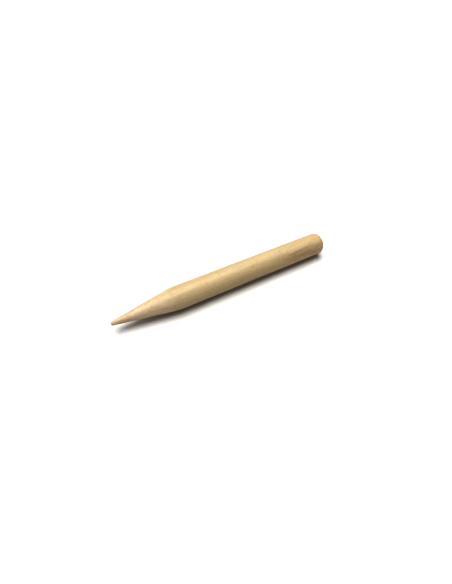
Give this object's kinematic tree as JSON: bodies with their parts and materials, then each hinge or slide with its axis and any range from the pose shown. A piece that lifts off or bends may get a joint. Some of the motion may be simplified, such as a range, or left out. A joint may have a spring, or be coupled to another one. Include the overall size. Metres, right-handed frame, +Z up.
{
  "type": "cuticle pusher",
  "caption": "Round wooden manicure stick with a long blunt conical point for pushing back cuticles and a softened butt end.",
  "frame": {"origin": "on the stick's axis at the middle of its length, inside the straight shank that holds it", "axes": "+X along the stick's axis from the point to the butt end, +Z up, +Y across it; laid on a surface, the stick touches it at Z = -4 mm"},
  "size_m": [0.079, 0.008, 0.008],
  "materials": {
    "bare_wood": "fine-sanded bare pale hardwood, matt"
  },
  "bodies": {
    "root": {"wooden_stick": "bare_wood"}
  },
  "joints": []
}
